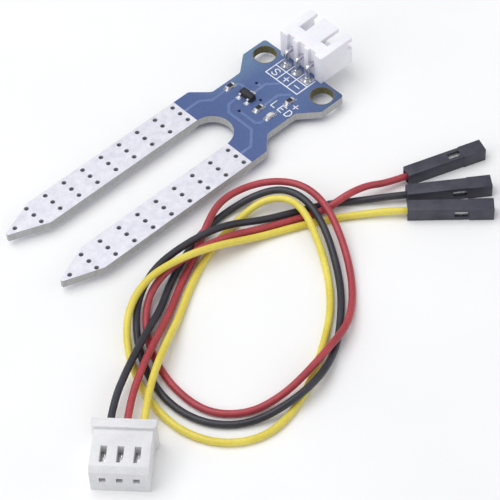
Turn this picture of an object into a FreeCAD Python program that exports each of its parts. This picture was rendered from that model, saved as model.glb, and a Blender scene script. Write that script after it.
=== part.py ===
import FreeCAD, Part
import math
import os

V = FreeCAD.Vector

# ---------------------------------------------------------------------------
# Soil moisture sensor: a two-pronged circuit board with a white three-way
# header, and its own loose lead with a plug at one end and three single
# sockets at the other.
#
# Frame: millimetres. +X runs from the prong tips to the header, +Y across the
# board, +Z out of the component side. The origin is the bottom centre of the
# sensor's own box: z = 0 is the surface that the solder tails stand on.
# ---------------------------------------------------------------------------

# Board
board_length = 60.0
board_width = 19.3
board_thickness = 1.6
skin_thickness = 0.05            # solder mask and electrode plating
tail_length = 1.0                # header pins below the board

# Prongs and slot
slot_width = 7.5
slot_depth = 42.3                # prong tip to the root of the slot
prong_taper = 6.7                # length of the pointed end
tip_width = 0.5
tip_offset = 6.8                 # tip centre from the board's centre line
electrode_length = 38.7          # prong tip to the edge of the mask

# Shoulders, waist and ears
ear_length = 5.2
waist_start = 8.6
waist_end = 15.1
shoulder_start = 17.95
waist_width = 13.6
ear_corner = 0.6
waist_corner = 1.2
prong_corner = 0.8
tip_corner = 0.15

# Mounting holes
mount_hole_diameter = 4.0
mount_hole_spacing = 14.0
mount_hole_inset = 2.55          # hole centre from the header edge
mask_hole_margin = 0.15

# Plated holes in the prongs
via_rows = 9
via_row_pitch = 4.0
first_row_margin = 1.0           # first row from the edge of the mask
via_column_pitch = 1.9
via_column_centre = 6.87
via_hole = 0.72
via_plating = 0.06

# Header
pin_pitch = 2.54
pin_size = 0.64
pin_inset = 1.7                  # pad centre from the header edge
header_gap = 0.7                 # rear wall stands this far inside the edge
header_depth = 7.4
header_width = 9.9
header_height = 5.8
header_side_wall = 0.8
header_top_wall = 0.9
header_floor_wall = 0.8
header_rear_wall = 1.4
header_slot_width = 1.6
header_slot_depth = 4.4
header_slot_spacing = 5.2
header_notch_depth = 0.9
header_notch_height = 1.3
header_bay_width = 1.5           # upright channels in the rear wall, one per pin
header_bay_depth = 0.6
pin_reach = 6.0                  # pin tip from the header's rear face
pad_diameter = 1.9
pad_hole = 0.95
solder_height = 0.45
solder_edge = 0.05               # pad left bare round the solder
solder_neck = 0.15               # solder round the pin at its top

# Small parts
chip_length = 1.6
chip_width = 0.8
chip_height = 0.45
chip_terminal = 0.3
chip_pad_length = 0.9
chip_pad_width = 1.0
chip_pad_pitch = 1.5
transistor_length = 2.9
transistor_width = 1.3
transistor_height = 1.0
transistor_lift = 0.1
transistor_reach = 1.15          # lead tip from the body's centre line
lead_width = 0.42
lead_thickness = 0.13
lead_pitch = 1.9
led_height = 0.6
led_base_height = 0.25
small_via_diameter = 0.65
small_via_hole = 0.35
trace_width = 0.55
trace_overrun = 0.1              # trace drawn past the edge of the mask, then cut there
ink_width = 0.2
ink_thickness = 0.02
toe_pad_length = 0.9             # pads under the transistor's leads
toe_pad_width = 0.8
transistor_chamfer = 0.15
lead_knee = 0.25                 # straight stretch before a lead turns down
lead_toe = 0.2                   # lead past its toe point
led_chamfer = 0.12
bead_height = 0.3                # solder against the end of a chip part
bead_width = 0.8

# Making
past = 1.0                       # how far a cutter runs past a face
near = 0.01                      # tolerance when an edge is picked by its place

# Lead
wire_diameter = 1.2
arc_share = 0.45                 # part of a run that the arc beside it takes
wire_entry = 1.2                 # wire inside its plug or socket housing
plug_width = 9.8
plug_body_width = 8.9
plug_height = 5.8
plug_body_height = 5.2
plug_length = 9.0
plug_flange = 1.6
plug_bevel = 0.8
plug_channel = 1.7
plug_front_wall = 0.8
plug_pin_hole = 1.0
plug_window_width = 1.0
plug_window_length = 2.9
plug_window_inset = 1.5
contact_wall = 0.2
contact_clearance = 0.1
contact_front_gap = 0.4
socket_length = 14.0
socket_size = 2.54
socket_channel = 1.7
socket_front_wall = 1.0
socket_mouth = 1.0
socket_window_length = 2.2
socket_window_width = 1.1
socket_window_inset = 4.2        # from the front face
socket_step = 0.12               # relief of the front end's collar
socket_collar = 4.0

# Placing of the lead on the surface, beside the sensor
lead_turn = -39.8
lead_centre_x = -17.3
lead_centre_y = -31.3

# ---------------------------------------------------------------------------
# Worked-out places
# ---------------------------------------------------------------------------
edge_to_front = header_depth - header_gap
tip_x = -(board_length + edge_to_front) / 2.0
edge_x = tip_x + board_length
header_rear_x = edge_x - header_gap
header_front_x = header_rear_x + header_depth
bottom_z = tail_length
top_z = bottom_z + board_thickness
core_bottom_z = bottom_z + skin_thickness
core_top_z = top_z - skin_thickness
half_board = board_width / 2.0
half_waist = waist_width / 2.0
half_slot = slot_width / 2.0
slot_centre_x = tip_x + slot_depth - half_slot
electrode_edge_x = tip_x + electrode_length
pin_x = edge_x - pin_inset
pin_ys = (pin_pitch, 0.0, -pin_pitch)
pin_names = ("signal", "power", "ground")
pin_level_z = top_z + header_height / 2.0
hole_x = edge_x - mount_hole_inset


def inset(distance):
    """X of a place that lies this far inside the header edge."""
    return edge_x - distance


# ---------------------------------------------------------------------------
# Helpers
# ---------------------------------------------------------------------------
def box(x0, x1, y0, y1, z0, z1):
    return Part.makeBox(x1 - x0, y1 - y0, z1 - z0, V(x0, y0, z0))


def rod(x, y, z0, z1, diameter):
    return Part.makeCylinder(diameter / 2.0, z1 - z0, V(x, y, z0))


def unite(shapes):
    whole = shapes[0]
    if len(shapes) > 1:
        whole = shapes[0].fuse(shapes[1:]).removeSplitter()
    return whole


def rounded_edges(points):
    """Line and arc edges through (x, y, corner radius) points."""
    edges = []
    start = V(points[0][0], points[0][1], 0)
    for before, here, after in zip(points, points[1:], points[2:]):
        corner = V(here[0], here[1], 0)
        back = (V(before[0], before[1], 0) - corner).normalize()
        ahead = (V(after[0], after[1], 0) - corner).normalize()
        half = back.getAngle(ahead) / 2.0
        reach = here[2] / math.tan(half)
        leave = corner + back * reach
        join = corner + ahead * reach
        middle = corner + (back + ahead).normalize() * (here[2] / math.sin(half) - here[2])
        edges.append(Part.makeLine(start, leave))
        edges.append(Part.Arc(leave, middle, join).toShape())
        start = join
    edges.append(Part.makeLine(start, V(points[-1][0], points[-1][1], 0)))
    return edges


def strip(points, width, z0, z1):
    """A flat band with round ends that follows the points."""
    pieces = []
    for (ax, ay), (bx, by) in zip(points, points[1:]):
        run = math.hypot(bx - ax, by - ay)
        piece = box(0, run, -width / 2.0, width / 2.0, z0, z1)
        piece.rotate(V(0, 0, 0), V(0, 0, 1), math.degrees(math.atan2(by - ay, bx - ax)))
        piece.translate(V(ax, ay, 0))
        pieces.append(piece)
    for x, y in points:
        pieces.append(rod(x, y, z0, z1, width))
    return unite(pieces)


def save(name, shape):
    shape.exportStep("parts/" + name + ".step")


# ---------------------------------------------------------------------------
# Board outline
# ---------------------------------------------------------------------------
def outline_half(side):
    """Outline points of one half of the board, from the header edge to the slot's root."""
    points = [
        (edge_x, 0.0, 0.0),
        (edge_x, half_board, ear_corner),
        (inset(ear_length), half_board, ear_corner),
        (inset(waist_start), half_waist, waist_corner),
        (inset(waist_end), half_waist, waist_corner),
        (inset(shoulder_start), half_board, prong_corner),
        (tip_x + prong_taper, half_board, prong_corner),
        (tip_x, tip_offset + tip_width / 2.0, tip_corner),
        (tip_x, tip_offset - tip_width / 2.0, tip_corner),
        (tip_x + prong_taper, half_slot, prong_corner),
        (slot_centre_x, half_slot, 0.0),
    ]
    return [(x, side * y, r) for x, y, r in points]


def outline_face():
    edges = rounded_edges(outline_half(1)) + rounded_edges(outline_half(-1))
    root = Part.Arc(
        V(slot_centre_x, half_slot, 0),
        V(slot_centre_x + half_slot, 0, 0),
        V(slot_centre_x, -half_slot, 0),
    )
    edges.append(root.toShape())
    return Part.Face(Part.Wire(Part.__sortEdges__(edges)))


def board_slab(z0, z1):
    slab = outline_face().extrude(V(0, 0, z1 - z0))
    slab.translate(V(0, 0, z0))
    return slab


def via_places(side):
    places = []
    for row in range(via_rows):
        x = electrode_edge_x - first_row_margin - row * via_row_pitch
        for column in (-1, 0, 1):
            places.append((x, side * via_column_centre + column * via_column_pitch))
    tip_row_x = electrode_edge_x - first_row_margin - via_rows * via_row_pitch
    places.append((tip_row_x, side * via_column_centre))
    return places


all_vias = via_places(1) + via_places(-1)
mount_places = [(hole_x, side * mount_hole_spacing / 2.0) for side in (1, -1)]
small_vias = [(inset(8.3), 3.0), (inset(14.85), 0.3), (inset(10.6), -0.4)]


def drill(shape, places, diameter):
    cutters = [rod(x, y, bottom_z - past, top_z + past, diameter) for x, y in places]
    return shape.cut(Part.makeCompound(cutters))


def make_core():
    core = board_slab(core_bottom_z, core_top_z)
    core = drill(core, mount_places, mount_hole_diameter)
    core = drill(core, all_vias, via_hole + 2 * via_plating)
    core = drill(core, [(pin_x, y) for y in pin_ys], pad_hole)
    core = drill(core, small_vias, small_via_diameter)
    save("pcb_core", core)


def make_electrodes():
    layers = {"top": (core_top_z, top_z), "bottom": (bottom_z, core_bottom_z)}
    for layer, (z0, z1) in layers.items():
        plate = drill(board_slab(z0, z1), all_vias, via_hole + 2 * via_plating)
        for name, side in (("left", 1), ("right", -1)):
            y0, y1 = sorted((0.0, side * board_width))
            half = plate.common(box(tip_x - past, electrode_edge_x, y0, y1, z0 - past, z1 + past))
            save("electrode_" + name + "_" + layer, half)


def make_via_barrels():
    for name, side in (("left", 1), ("right", -1)):
        barrels = []
        for x, y in via_places(side):
            barrel = rod(x, y, bottom_z, top_z, via_hole + 2 * via_plating)
            barrels.append(barrel.cut(rod(x, y, bottom_z - past, top_z + past, via_hole)))
        save("via_barrels_" + name, Part.makeCompound(barrels))


# ---------------------------------------------------------------------------
# Copper under the mask, pads and mask
# ---------------------------------------------------------------------------
# Chip parts: name, centre x, centre y. They all lie along X.
chips = (
    ("resistor_signal", inset(12.1), 5.5),
    ("resistor_base", inset(12.2), -1.7),
    ("resistor_led", inset(7.4), -4.2),
)
led_place = (inset(12.1), -4.3)
transistor_place = (inset(11.6), 1.7)
transistor_toes = (
    (transistor_place[0] - transistor_reach, transistor_place[1] + lead_pitch / 2.0),
    (transistor_place[0] - transistor_reach, transistor_place[1] - lead_pitch / 2.0),
    (transistor_place[0] + transistor_reach, transistor_place[1]),
)
chip_places = [(x, y) for _, x, y in chips] + [led_place]

trace_end_x = electrode_edge_x - trace_overrun
trace_routes = (
    ((trace_end_x, 6.8), (inset(18.1), 6.8), (inset(16.3), 5.4), (inset(13.3), 5.4)),
    ((inset(13.2), 2.7), (inset(15.0), 2.7), (inset(16.3), 1.3), (inset(16.3), -4.3),
     (inset(19.0), -7.0), (trace_end_x, -7.0)),
    ((inset(14.85), 0.3), (inset(14.85), -3.6), (inset(14.1), -4.3), (inset(13.3), -4.3)),
    ((inset(10.1), 1.7), (inset(7.4), 1.7), (inset(5.5), 0.0), (inset(2.8), 0.0)),
    ((inset(8.3), 1.9), (inset(8.3), 3.0)),
    ((inset(11.0), 5.4), (inset(10.4), 4.8), (inset(10.4), 2.2)),
    ((inset(11.0), -1.7), (inset(7.8), -1.7), (inset(6.2), -3.0)),
    ((inset(11.2), -4.3), (inset(8.4), -4.3)),
)


def make_pads():
    """Tinned pads of the small parts, flush with the mask."""
    pads = []
    for x, y in chip_places:
        for side in (-1, 1):
            px = x + side * chip_pad_pitch / 2.0
            pads.append(box(px - chip_pad_length / 2.0, px + chip_pad_length / 2.0,
                            y - chip_pad_width / 2.0, y + chip_pad_width / 2.0, core_top_z, top_z))
    for x, y in transistor_toes:
        pads.append(box(x - toe_pad_length / 2.0, x + toe_pad_length / 2.0,
                        y - toe_pad_width / 2.0, y + toe_pad_width / 2.0, core_top_z, top_z))
    save("component_pads", Part.makeCompound(pads))
    return pads


def pad_ring(x, y, z0, z1, square):
    half = pad_diameter / 2.0
    if square:
        disc = box(x - half, x + half, y - half, y + half, z0, z1)
    else:
        disc = rod(x, y, z0, z1, pad_diameter)
    return disc.cut(rod(x, y, z0 - past, z1 + past, pad_hole))


def make_header_pads():
    top_rings = []
    bottom_rings = []
    for name, y in zip(pin_names, pin_ys):
        square = name == "ground"
        top_rings.append(pad_ring(pin_x, y, core_top_z, top_z, square))
        bottom_rings.append(pad_ring(pin_x, y, bottom_z, core_bottom_z, square))
    save("header_pads_top", Part.makeCompound(top_rings))
    save("header_pads_bottom", Part.makeCompound(bottom_rings))
    return top_rings, bottom_rings


def make_small_vias():
    barrels = []
    for x, y in small_vias:
        barrel = rod(x, y, bottom_z, top_z, small_via_diameter)
        barrels.append(barrel.cut(rod(x, y, bottom_z - past, top_z + past, small_via_hole)))
    save("signal_vias", Part.makeCompound(barrels))


def make_mask_and_traces(pads, top_rings, bottom_rings):
    keep = box(electrode_edge_x, edge_x + past, -board_width, board_width, 0, top_z + past)
    opening = mount_hole_diameter + 2 * mask_hole_margin
    holes = [(mount_places, opening), (small_vias, small_via_diameter)]
    pin_holes = [(pin_x, y) for y in pin_ys]

    mask = board_slab(core_top_z, top_z).common(keep)
    copper = unite([strip(route, trace_width, core_top_z, top_z) for route in trace_routes])
    copper = copper.common(mask)
    clear = pads + top_rings
    copper = copper.cut(Part.makeCompound(clear))
    copper = drill(copper, small_vias, small_via_diameter)
    copper = drill(copper, pin_holes, pad_hole)
    for places, diameter in holes:
        mask = drill(mask, places, diameter)
    mask = drill(mask, pin_holes, pad_hole)
    mask = mask.cut(Part.makeCompound(clear)).cut(copper)
    save("solder_mask_top", mask)
    save("copper_traces_top", copper)

    under = board_slab(bottom_z, core_bottom_z).common(keep)
    for places, diameter in holes:
        under = drill(under, places, diameter)
    under = drill(under, pin_holes, pad_hole)
    under = under.cut(Part.makeCompound(bottom_rings))
    save("solder_mask_bottom", under)


# ---------------------------------------------------------------------------
# Printed legend
# ---------------------------------------------------------------------------
legend_near = inset(5.35)        # edge of the marked box, away from the header
legend_split = inset(2.95)
legend_far = inset(0.95)
legend_half = 1.5 * pin_pitch
glyph_width = 1.3
glyph_height = 1.4
glyph_space = 0.25
led_word_place = (inset(10.2), -2.3)
led_plus_place = (inset(8.3), -5.2)


def place_glyph(strokes, x, y):
    """Strokes in a unit square, up is +X and reading runs towards -Y."""
    placed = []
    for stroke in strokes:
        placed.append([(x + v * glyph_height, y - u * glyph_width) for u, v in stroke])
    return placed


glyph_s = (((0.9, 0.85), (0.7, 1.0), (0.3, 1.0), (0.1, 0.78), (0.3, 0.55), (0.7, 0.45),
            (0.9, 0.22), (0.7, 0.0), (0.3, 0.0), (0.1, 0.15)),)
glyph_plus = (((0.1, 0.5), (0.9, 0.5)), ((0.5, 0.1), (0.5, 0.9)))
glyph_minus = (((0.1, 0.5), (0.9, 0.5)),)
glyph_l = (((0.15, 1.0), (0.15, 0.0), (0.8, 0.0)),)
glyph_e = (((0.85, 1.0), (0.15, 1.0), (0.15, 0.0), (0.85, 0.0)), ((0.15, 0.5), (0.7, 0.5)))
glyph_d = (((0.15, 0.0), (0.15, 1.0), (0.6, 1.0), (0.85, 0.7), (0.85, 0.3), (0.6, 0.0), (0.15, 0.0)),)


def make_legend():
    lines = [
        [(legend_far, legend_half), (legend_near, legend_half), (legend_near, -legend_half),
         (legend_far, -legend_half)],
        [(legend_split, legend_half), (legend_split, -legend_half)],
    ]
    for side in (1, -1):
        lines.append([(legend_near, side * pin_pitch / 2.0), (legend_far, side * pin_pitch / 2.0)])
    cell_x = (legend_near + legend_split - glyph_height) / 2.0
    for glyph, y in zip((glyph_s, glyph_plus, glyph_minus), pin_ys):
        lines += place_glyph(glyph, cell_x, y + glyph_width / 2.0)
    word_x, word_y = led_word_place
    for glyph in (glyph_l, glyph_e, glyph_d):
        lines += place_glyph(glyph, word_x, word_y)
        word_y -= glyph_width + glyph_space
    lines += place_glyph(glyph_plus, *led_plus_place)
    ink = [strip(line, ink_width, top_z, top_z + ink_thickness) for line in lines]
    save("legend_ink", unite(ink))


# ---------------------------------------------------------------------------
# Header, pins and solder
# ---------------------------------------------------------------------------
def make_header():
    half = header_width / 2.0
    roof_z = top_z + header_height
    cavity_x = header_rear_x + header_rear_wall
    shell = box(header_rear_x, header_front_x, -half, half, top_z, roof_z)
    cavity = box(cavity_x, header_front_x + past, -half + header_side_wall, half - header_side_wall,
                 top_z + header_floor_wall, roof_z - header_top_wall)
    shell = shell.cut(cavity)
    slot_x = header_front_x - header_slot_depth
    for side in (1, -1):
        centre = side * header_slot_spacing / 2.0
        shell = shell.cut(box(slot_x, header_front_x + past, centre - header_slot_width / 2.0,
                              centre + header_slot_width / 2.0,
                              roof_z - header_top_wall - past, roof_z + past))
        y0, y1 = sorted((side * (half - header_side_wall - past), side * (half + past)))
        notch_z = roof_z - header_top_wall - header_notch_height
        shell = shell.cut(box(header_front_x - header_notch_depth, header_front_x + past, y0, y1,
                              notch_z, notch_z + header_notch_height))
    for y in pin_ys:
        shell = shell.cut(box(header_rear_x - past, header_rear_x + header_bay_depth,
                              y - header_bay_width / 2.0, y + header_bay_width / 2.0,
                              top_z - past, roof_z + past))
        shell = shell.cut(box(header_rear_x - past, cavity_x + past, y - pin_size / 2.0, y + pin_size / 2.0,
                              pin_level_z - pin_size / 2.0, pin_level_z + pin_size / 2.0))
    save("header_housing", shell)


def make_pins():
    half = pin_size / 2.0
    pin_end_x = header_rear_x + pin_reach
    for name, y in zip(pin_names, pin_ys):
        riser = box(pin_x - half, pin_x + half, y - half, y + half, 0.0, pin_level_z + half)
        arm = box(pin_x - half, pin_end_x, y - half, y + half, pin_level_z - half, pin_level_z + half)
        pin = riser.fuse(arm).removeSplitter()
        bend = []
        for edge in pin.Edges:
            centre = edge.CenterOfMass
            if abs(centre.x - pin_x + half) < near and abs(centre.z - pin_level_z - half) < near:
                bend.append(edge)
        save("header_pin_" + name, pin.makeFillet(half, bend))


def make_header_solder():
    """One fillet of solder round each pin, above and below the board."""
    top = []
    bottom = []
    half = pin_size / 2.0
    foot = pad_diameter / 2.0 - solder_edge
    for y in pin_ys:
        pin_hole = box(pin_x - half, pin_x + half, y - half, y + half, -past, pin_level_z)
        cone = Part.makeCone(foot, half + solder_neck, solder_height, V(pin_x, y, top_z))
        under = Part.makeCone(half + solder_neck, foot, solder_height,
                              V(pin_x, y, bottom_z - solder_height))
        plug = rod(pin_x, y, bottom_z, top_z, pad_hole)
        top.append(unite([cone, plug]).cut(pin_hole))
        bottom.append(under.cut(pin_hole))
    save("header_solder_top", Part.makeCompound(top))
    save("header_solder_bottom", Part.makeCompound(bottom))


# ---------------------------------------------------------------------------
# Small parts on the board
# ---------------------------------------------------------------------------
def chip_block(x, y, height):
    half_l = chip_length / 2.0
    half_w = chip_width / 2.0
    body = box(x - half_l + chip_terminal, x + half_l - chip_terminal, y - half_w, y + half_w,
               top_z, top_z + height)
    caps = []
    for side in (-1, 1):
        x0, x1 = sorted((x + side * (half_l - chip_terminal), x + side * half_l))
        caps.append(box(x0, x1, y - half_w, y + half_w, top_z, top_z + height))
    return body, caps


def make_chips():
    for name, x, y in chips:
        body, caps = chip_block(x, y, chip_height)
        save(name + "_body", body)
        save(name + "_terminals", Part.makeCompound(caps))
    x, y = led_place
    base, caps = chip_block(x, y, led_base_height)
    lens = box(x - chip_length / 2.0 + chip_terminal, x + chip_length / 2.0 - chip_terminal,
               y - chip_width / 2.0, y + chip_width / 2.0, top_z + led_base_height, top_z + led_height)
    rim = [edge for edge in lens.Edges if abs(edge.CenterOfMass.z - top_z - led_height) < near]
    save("led_base", base)
    save("led_terminals", Part.makeCompound(caps))
    save("led_lens", lens.makeChamfer(led_chamfer, rim))


def make_chip_solder():
    """Solder fillets at the ends of the chip parts."""
    beads = []
    for x, y in chip_places:
        for side in (-1, 1):
            x0 = x + side * chip_length / 2.0
            x1 = x + side * (chip_pad_pitch + chip_pad_length) / 2.0
            y0 = y - bead_width / 2.0
            wedge = Part.makePolygon([V(x0, y0, top_z), V(x1, y0, top_z),
                                      V(x0, y0, top_z + bead_height), V(x0, y0, top_z)])
            beads.append(Part.Face(wedge).extrude(V(0, bead_width, 0)))
    save("chip_solder", Part.makeCompound(beads))


def make_transistor():
    x, y = transistor_place
    half_w = transistor_width / 2.0
    half_l = transistor_length / 2.0
    z0 = top_z + transistor_lift
    z1 = z0 + transistor_height
    body = box(x - half_w, x + half_w, y - half_l, y + half_l, z0, z1)
    rim = [edge for edge in body.Edges if abs(edge.CenterOfMass.z - z1) < near]
    save("transistor_body", body.makeChamfer(transistor_chamfer, rim))
    shoulder_z = z0 + transistor_height / 2.0
    legs = []
    for toe_x, toe_y in transistor_toes:
        side = 1 if toe_x > x else -1
        y0 = toe_y - lead_width / 2.0
        y1 = toe_y + lead_width / 2.0
        wall_x = x + side * half_w
        knee_x = wall_x + side * lead_knee
        x0, x1 = sorted((wall_x, knee_x + side * lead_thickness))
        arm = box(x0, x1, y0, y1, shoulder_z, shoulder_z + lead_thickness)
        x0, x1 = sorted((knee_x, knee_x + side * lead_thickness))
        shin = box(x0, x1, y0, y1, top_z, shoulder_z + lead_thickness)
        x0, x1 = sorted((knee_x, toe_x + side * lead_toe))
        foot = box(x0, x1, y0, y1, top_z, top_z + lead_thickness)
        legs.append(unite([arm, shin, foot]))
    save("transistor_leads", Part.makeCompound(legs))


def make_sensor():
    make_core()
    make_electrodes()
    make_via_barrels()
    pads = make_pads()
    top_rings, bottom_rings = make_header_pads()
    make_small_vias()
    make_mask_and_traces(pads, top_rings, bottom_rings)
    make_legend()
    make_header()
    make_pins()
    make_header_solder()
    make_chips()
    make_chip_solder()
    make_transistor()


# ---------------------------------------------------------------------------
# Lead: routes of the three wires on the surface
# ---------------------------------------------------------------------------
# Points are in the lead's own frame: x to the right, y away, z up from the
# surface. Each wire leaves the plug, goes once round a loose loop and ends in
# its socket. The first point is at the plug and the last at the socket.
plug_place = (-18.5, -21.5)
plug_turn = -7.5                 # the plug's rear faces almost along +y
plug_straight = 4.8              # straight stretch behind the plug
plug_pin_z = plug_body_height / 2.0
socket_pin_z = socket_size / 2.0
wire_names = ("black", "red", "yellow")

wire_routes = {
    "black": (
        (-18.1, -10.2, 2.7), (-15.2, -3.7, 2.6), (-12.7, 2.5, 0.8), (-10.9, 8.2, 0.6),
        (-8.2, 13.9, 0.6), (-4.7, 19.2, 0.6), (-0.4, 22.9, 0.6), (4.0, 24.7, 1.8),
        (8.3, 24.7, 2.8), (11.9, 22.0, 2.8), (14.3, 16.8, 2.0), (15.6, 10.6, 0.6),
        (16.0, 4.0, 0.6), (15.3, -2.3, 0.6), (14.1, -7.6, 0.8), (11.5, -13.3, 2.2),
        (6.9, -17.8, 2.2), (0.4, -20.4, 0.6), (-5.9, -20.1, 0.6), (-11.1, -16.7, 0.6),
        (-14.7, -11.0, 0.6), (-16.5, -3.9, 0.6), (-16.5, 3.5, 1.3), (-13.7, 9.6, 2.4),
        (-8.2, 14.2, 2.8), (-1.9, 17.5, 3.0), (4.4, 19.6, 1.0), (10.1, 21.3, 0.6),
        (15.4, 22.6, 0.6), (20.6, 22.7, 0.7), (24.6, 22.6, socket_pin_z), (28.2, 22.8, socket_pin_z),
    ),
    "red": (
        (-16.0, -10.5, 2.7), (-13.5, -4.2, 2.2), (-11.3, 1.7, 0.7), (-9.4, 7.4, 0.6),
        (-6.9, 13.0, 0.6), (-4.8, 18.0, 2.0), (-2.4, 23.0, 2.4), (2.0, 25.9, 2.4),
        (6.8, 26.8, 2.5), (11.5, 25.3, 2.8), (14.9, 20.8, 2.8), (16.8, 14.9, 1.6),
        (17.8, 8.6, 0.6), (17.7, 2.4, 0.6), (16.4, -3.4, 1.6), (13.2, -8.2, 2.6),
        (9.4, -12.7, 2.4), (5.5, -16.1, 1.6), (0.4, -18.4, 0.6), (-5.5, -18.1, 0.6),
        (-9.9, -14.4, 0.6), (-13.1, -9.1, 0.6), (-15.0, -2.8, 0.6), (-14.9, 3.6, 1.4),
        (-12.3, 8.4, 2.4), (-7.3, 12.3, 2.6), (-1.5, 15.5, 2.5), (4.4, 17.9, 0.9),
        (10.1, 19.7, 0.6), (14.8, 21.0, 0.8), (18.4, 22.5, 2.6), (21.9, 24.3, 2.5),
        (25.3, 25.6, socket_pin_z), (28.6, 26.8, socket_pin_z),
    ),
    "yellow": (
        (-13.9, -10.8, 2.7), (-11.8, -4.8, 2.2), (-9.8, 0.8, 0.7), (-8.0, 6.5, 0.6),
        (-5.6, 11.9, 0.6), (-2.4, 16.9, 0.6), (1.2, 21.0, 0.8), (4.8, 23.1, 2.0),
        (8.6, 22.6, 2.9), (11.3, 19.8, 2.8), (13.1, 14.2, 1.6), (14.2, 7.6, 0.6),
        (14.1, 1.1, 0.6), (12.8, -4.8, 0.6), (10.5, -11.6, 0.6), (7.1, -18.4, 0.6),
        (2.1, -23.2, 0.6), (-4.6, -23.8, 0.6), (-10.7, -20.7, 0.6), (-15.1, -14.7, 0.6),
        (-17.8, -7.1, 0.6), (-18.1, 0.6, 2.2), (-15.1, 6.3, 3.6), (-9.9, 10.0, 3.9),
        (-3.4, 13.0, 3.3), (3.4, 16.1, 0.9), (10.5, 18.3, 0.6), (16.8, 19.5, 0.6),
        (21.4, 19.7, 0.8), (25.0, 19.6, socket_pin_z), (28.0, 19.4, socket_pin_z),
    ),
}


def on_surface(shape):
    """Carry a shape from the lead's own frame to its place beside the sensor."""
    placed = shape.copy()
    placed.rotate(V(0, 0, 0), V(0, 0, 1), lead_turn)
    placed.translate(V(lead_centre_x, lead_centre_y, 0))
    return placed


def from_plug(shape):
    """Carry a shape from the plug's frame, rear face at y = 0, to the lead's."""
    placed = shape.copy()
    placed.rotate(V(0, 0, 0), V(0, 0, 1), plug_turn)
    placed.translate(V(plug_place[0], plug_place[1], 0))
    return placed


def plug_point(x, y):
    """A point of the plug's frame, at pin height, in the lead's frame."""
    turn = math.radians(plug_turn)
    return V(plug_place[0] + x * math.cos(turn) - y * math.sin(turn),
             plug_place[1] + x * math.sin(turn) + y * math.cos(turn), plug_pin_z)


def wire_points(name):
    """The whole route of a wire, from inside the plug to inside its socket."""
    x = (wire_names.index(name) - 1) * pin_pitch
    points = [plug_point(x, -wire_entry), plug_point(x, plug_straight)]
    points += [V(*place) for place in wire_routes[name]]
    run = points[-1] - points[-2]
    run.z = 0
    points[-1] = points[-1] + run.normalize() * wire_entry
    return points


def make_wire(name):
    """A tube of straight runs joined by arcs as large as the runs allow."""
    points = wire_points(name)
    edges = []
    radii = []
    start = points[0]
    for before, here, after in zip(points, points[1:], points[2:]):
        shorter = min((here - before).Length, (after - here).Length)
        back = (before - here).normalize()
        ahead = (after - here).normalize()
        half_turn = (math.pi - back.getAngle(ahead)) / 2.0
        reach = arc_share * shorter
        radius = reach / math.tan(half_turn)
        leave = here + back * reach
        join = here + ahead * reach
        middle = here + (back + ahead).normalize() * (radius / math.cos(half_turn) - radius)
        edges.append(Part.LineSegment(start, leave).toShape())
        edges.append(Part.Arc(leave, middle, join).toShape())
        radii.append(radius)
        start = join
    edges.append(Part.LineSegment(start, points[-1]).toShape())
    path = Part.Wire(edges)
    circle = Part.makeCircle(wire_diameter / 2.0, points[0], points[1] - points[0])
    tube = path.makePipeShell([Part.Wire(circle)], True, False)
    section = math.pi * wire_diameter ** 2 / 4.0
    print("wire", name, "length", round(path.Length, 1), "radii",
          [round(radius, 1) for radius in radii],
          "volume / (section x length)", round(tube.Volume / (section * path.Length), 4))
    save("wire_" + name, on_surface(tube))


# ---------------------------------------------------------------------------
# Plug and sockets
# ---------------------------------------------------------------------------
def make_contact(length, channel, z):
    """A folded contact along +x, its closed rear wall at x = 0."""
    half = channel / 2.0 - contact_clearance
    bore = half - contact_wall
    shell = box(0, length, -half, half, z - half, z + half)
    return shell.cut(box(contact_wall, length + past, -bore, bore, z - bore, z + bore))


def make_plug():
    half_body = plug_body_width / 2.0
    half_flange = plug_width / 2.0
    body = box(-half_body, half_body, -plug_length, 0, 0, plug_body_height)
    nose = [edge for edge in body.Edges
            if abs(edge.CenterOfMass.y + plug_length) < near
            and abs(edge.CenterOfMass.z - plug_body_height) < near]
    body = body.makeChamfer(plug_bevel, nose)
    profile = Part.makePolygon([
        V(-half_flange, 0, 0), V(half_flange, 0, 0), V(half_flange, -plug_flange / 2.0, 0),
        V(half_body, -plug_flange, 0), V(-half_body, -plug_flange, 0),
        V(-half_flange, -plug_flange / 2.0, 0), V(-half_flange, 0, 0),
    ])
    flange = Part.Face(profile).extrude(V(0, 0, plug_height))
    housing = body.fuse(flange).removeSplitter()
    half = plug_channel / 2.0
    hole = plug_pin_hole / 2.0
    window = plug_window_width / 2.0
    front = -plug_length
    contacts = []
    for column, name in zip((-1, 0, 1), wire_names):
        x = column * pin_pitch
        housing = housing.cut(box(x - half, x + half, front + plug_front_wall, past,
                                  plug_pin_z - half, plug_pin_z + half))
        housing = housing.cut(box(x - hole, x + hole, front - past, front + plug_front_wall + past,
                                  plug_pin_z - hole, plug_pin_z + hole))
        housing = housing.cut(box(x - window, x + window, front + plug_window_inset,
                                  front + plug_window_inset + plug_window_length,
                                  plug_pin_z, plug_height + past))
        length = plug_length - plug_front_wall - contact_front_gap - wire_entry
        contact = make_contact(length, plug_channel, plug_pin_z)
        contact.rotate(V(0, 0, 0), V(0, 0, 1), -90)
        contact.translate(V(x, -wire_entry, 0))
        contacts.append(("plug_contact_" + name, contact))
    save("plug_housing", on_surface(from_plug(housing)))
    for name, contact in contacts:
        save(name, on_surface(from_plug(contact)))


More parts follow.
